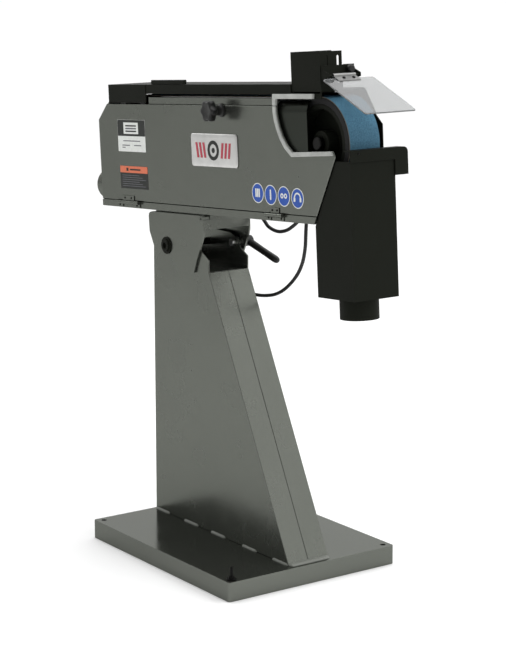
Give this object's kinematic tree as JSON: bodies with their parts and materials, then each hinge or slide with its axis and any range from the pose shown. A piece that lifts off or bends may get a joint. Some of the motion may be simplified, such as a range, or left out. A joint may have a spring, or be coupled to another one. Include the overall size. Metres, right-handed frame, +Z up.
{
  "type": "belt grinder",
  "caption": "Floor-standing belt grinder: tilting head with contact wheel and blue abrasive belt, hinged door and lid, visor, dust chute, folded steel stand and base.",
  "frame": {"origin": "centre of the object's box on the floor", "axes": "+Z up, +X towards the contact wheel and the operator, -Y towards the hinged door"},
  "size_m": [1.0544, 0.5186, 1.1395],
  "materials": {
    "base_pan": "semi-gloss grey hammertone",
    "stand_near_half": "semi-gloss grey hammertone",
    "stand_far_half": "semi-gloss grey hammertone",
    "stand_top_web": "semi-gloss grey hammertone",
    "levelling_bolt": "plain",
    "pivot_bolt": "satin black",
    "pivot_nut": "plain",
    "lock_bolt": "plain",
    "switch_box": "moulded black",
    "switch_cover": "moulded black",
    "gland_switch_lead": "moulded black",
    "gland_mains": "moulded black",
    "start_button": "green",
    "stop_button": "red",
    "clamp_lever": "moulded black",
    "head_shell": "semi-gloss grey hammertone",
    "head_bracket": "semi-gloss grey hammertone",
    "top_rail": "semi-gloss grey hammertone",
    "rear_cap": "satin black",
    "window_trim_top": "satin",
    "platen": "plain",
    "abrasive_belt": "blue abrasive grain on cloth",
    "slide_guide": "plain",
    "guard_plate": "satin black",
    "belt_shield": "satin black",
    "chute": "satin black",
    "outlet_pipe": "satin black",
    "dust_port": "semi-gloss grey hammertone",
    "visor_bracket": "satin black",
    "motor_body": "semi-gloss grey",
    "fan_cover": "satin black",
    "terminal_box": "moulded black",
    "junction_box": "moulded black",
    "gland_motor_lead": "moulded black",
    "gland_supply_lead": "moulded black",
    "door_hinge_rear": "semi-gloss grey hammertone",
    "door_hinge_front": "semi-gloss grey hammertone",
    "lid_hinge": "satin black",
    "motor_lead": "matt black",
    "supply_lead": "matt black",
    "wheel_slide": "plain",
    "contact_axle": "plain",
    "contact_tyre": "matt black",
    "contact_hub": "satin",
    "drive_wheel": "satin",
    "motor_shaft": "plain",
    "tension_lever": "plain",
    "door_panel": "semi-gloss grey hammertone",
    "badge_plate": "satin",
    "window_trim_door": "satin",
    "door_leaf_rear": "semi-gloss grey hammertone",
    "door_leaf_front": "semi-gloss grey hammertone",
    "door_knob": "moulded black",
    "lid": "satin black",
    "lid_grip": "satin black",
    "tool_rest": "satin black",
    "visor_carrier": "satin black",
    "visor_clamp_knob": "moulded black",
    "visor_panel": "clear acrylic sheet",
    "visor_hinge_leaf": "plain"
  },
  "bodies": {
    "stand": {"base_pan": "base_pan", "stand_near_half": "stand_near_half", "stand_far_half": "stand_far_half", "stand_top_web": "stand_top_web", "levelling_bolt": "levelling_bolt", "pivot_bolt": "pivot_bolt", "pivot_nut": "pivot_nut", "lock_bolt": "lock_bolt", "switch_box": "switch_box", "switch_cover": "switch_cover", "gland_switch_lead": "gland_switch_lead", "gland_mains": "gland_mains"},
    "start_button": {"start_button": "start_button"},
    "stop_button": {"stop_button": "stop_button"},
    "clamp_lever": {"clamp_lever": "clamp_lever"},
    "head": {"head_shell": "head_shell", "head_bracket": "head_bracket", "top_rail": "top_rail", "rear_cap": "rear_cap", "window_trim_top": "window_trim_top", "platen": "platen", "abrasive_belt": "abrasive_belt", "slide_guide": "slide_guide", "guard_plate": "guard_plate", "belt_shield": "belt_shield", "chute": "chute", "outlet_pipe": "outlet_pipe", "dust_port": "dust_port", "visor_bracket": "visor_bracket", "motor_body": "motor_body", "fan_cover": "fan_cover", "terminal_box": "terminal_box", "junction_box": "junction_box", "gland_motor_lead": "gland_motor_lead", "gland_supply_lead": "gland_supply_lead", "door_hinge_rear": "door_hinge_rear", "door_hinge_front": "door_hinge_front", "lid_hinge": "lid_hinge", "motor_lead": "motor_lead", "supply_lead": "supply_lead"},
    "wheel_slide": {"wheel_slide": "wheel_slide", "contact_axle": "contact_axle"},
    "contact_wheel": {"contact_tyre": "contact_tyre", "contact_hub": "contact_hub"},
    "drive": {"drive_wheel": "drive_wheel", "motor_shaft": "motor_shaft"},
    "tension_lever": {"tension_lever": "tension_lever"},
    "door": {"door_panel": "door_panel", "badge_plate": "badge_plate", "window_trim_door": "window_trim_door", "door_leaf_rear": "door_leaf_rear", "door_leaf_front": "door_leaf_front"},
    "door_knob": {"door_knob": "door_knob"},
    "lid": {"lid": "lid", "lid_grip": "lid_grip"},
    "tool_rest": {"tool_rest": "tool_rest"},
    "visor_carrier": {"visor_carrier": "visor_carrier"},
    "visor_knob": {"visor_clamp_knob": "visor_clamp_knob"},
    "visor": {"visor_panel": "visor_panel", "visor_hinge_leaf": "visor_hinge_leaf"}
  },
  "joints": [
    {"name": "head_tilt", "type": "hinge", "parent": "stand", "child": "head", "pos_m": [-0.20134, -0.03802, 0.6745], "axis": [0, -1, 0], "range_deg": [-4, 15], "deforming": ["supply_lead"]},
    {"name": "clamp_lever_turn", "type": "hinge", "parent": "stand", "child": "clamp_lever", "pos_m": [-0.09315, 0.04998, 0.686], "axis": [0, -1, 0], "range_deg": [-15, 20]},
    {"name": "start_press", "type": "slide", "parent": "stand", "child": "start_button", "axis": [0, -1, 0], "range_m": [0, 0.004], "stiffness_N_per_m": 300},
    {"name": "stop_press", "type": "slide", "parent": "stand", "child": "stop_button", "axis": [0, -1, 0], "range_m": [0, 0.004], "stiffness_N_per_m": 300},
    {"name": "tension_turn", "type": "hinge", "parent": "head", "child": "tension_lever", "pos_m": [0.16566, -0.00902, 0.94112], "axis": [0, 1, 0], "range_deg": [0, 70]},
    {"name": "wheel_slide_in", "type": "slide", "parent": "head", "child": "wheel_slide", "axis": [0.9975, 0, 0.071], "range_m": [-0.012, 0]},
    {"name": "drive_spin", "type": "hinge", "parent": "head", "child": "drive", "pos_m": [-0.3648, -0.03802, 0.90338], "axis": [0, 1, 0], "continuous": true},
    {"name": "contact_spin", "type": "hinge", "parent": "wheel_slide", "child": "contact_wheel", "pos_m": [0.34042, -0.03802, 0.95356], "axis": [0, 1, 0], "continuous": true},
    {"name": "door_swing", "type": "hinge", "parent": "head", "child": "door", "pos_m": [-0.20776, -0.10252, 0.76477], "axis": [0.9975, 0, 0.071], "range_deg": [0, 110]},
    {"name": "knob_turn", "type": "hinge", "parent": "door", "child": "door_knob", "pos_m": [0.0184, -0.09752, 0.99591], "axis": [0, 1, 0], "continuous": true},
    {"name": "lid_swing", "type": "hinge", "parent": "head", "child": "lid", "pos_m": [-0.2265, 0.02848, 1.02811], "axis": [-0.9975, 0, -0.071], "range_deg": [0, 95]},
    {"name": "rest_slide", "type": "slide", "parent": "head", "child": "tool_rest", "axis": [0.9975, 0, 0.071], "range_m": [0, 0.02]},
    {"name": "visor_height", "type": "slide", "parent": "head", "child": "visor_carrier", "axis": [-0.071, 0, 0.9975], "range_m": [-0.015, 0.022]},
    {"name": "visor_knob_turn", "type": "hinge", "parent": "visor_carrier", "child": "visor_knob", "pos_m": [0.36426, -0.02682, 1.10463], "axis": [0.9975, 0, 0.071], "continuous": true},
    {"name": "visor_tilt", "type": "hinge", "parent": "visor_carrier", "child": "visor", "pos_m": [0.38214, -0.03802, 1.09277], "axis": [0, -1, 0], "range_deg": [-5, 80]}
  ],
  "couplings": [
    {"joint": "wheel_slide_in", "follows": "tension_turn", "m_per_rad": -0.0098},
    {"joint": "contact_spin", "follows": "drive_spin", "ratio": 1}
  ]
}
